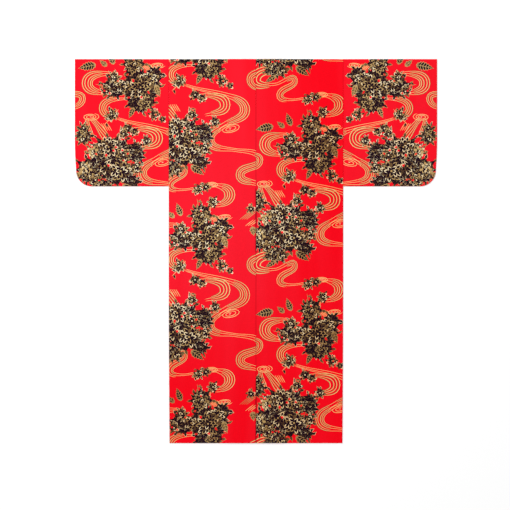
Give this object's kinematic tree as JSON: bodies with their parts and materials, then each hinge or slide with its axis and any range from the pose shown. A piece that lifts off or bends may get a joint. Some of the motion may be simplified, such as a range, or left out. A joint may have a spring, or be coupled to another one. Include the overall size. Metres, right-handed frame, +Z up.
{
  "type": "yukata",
  "caption": "Women's cotton yukata laid flat with its back up: straight body panels, wide sleeves with rounded lower corners, peony sprays and flowing water lines on red.",
  "frame": {"origin": "on the surface that the garment lies on, below the middle of its box", "axes": "+Y from the hem to the shoulder fold, +Z up out of the garment's back, +X to the wearer's right (the garment lies face down)"},
  "size_m": [1.396, 1.48, 0.0056],
  "materials": {
    "printed_cotton": "matt plain-weave cotton, dyed red, with near-black, cream-gold and orange-gold print"
  },
  "bodies": {
    "root": {"body_left": "printed_cotton", "body_right": "printed_cotton", "overlap_left": "printed_cotton", "overlap_right": "printed_cotton", "collar": "printed_cotton", "sleeve_left": "printed_cotton", "sleeve_right": "printed_cotton"}
  },
  "joints": []
}
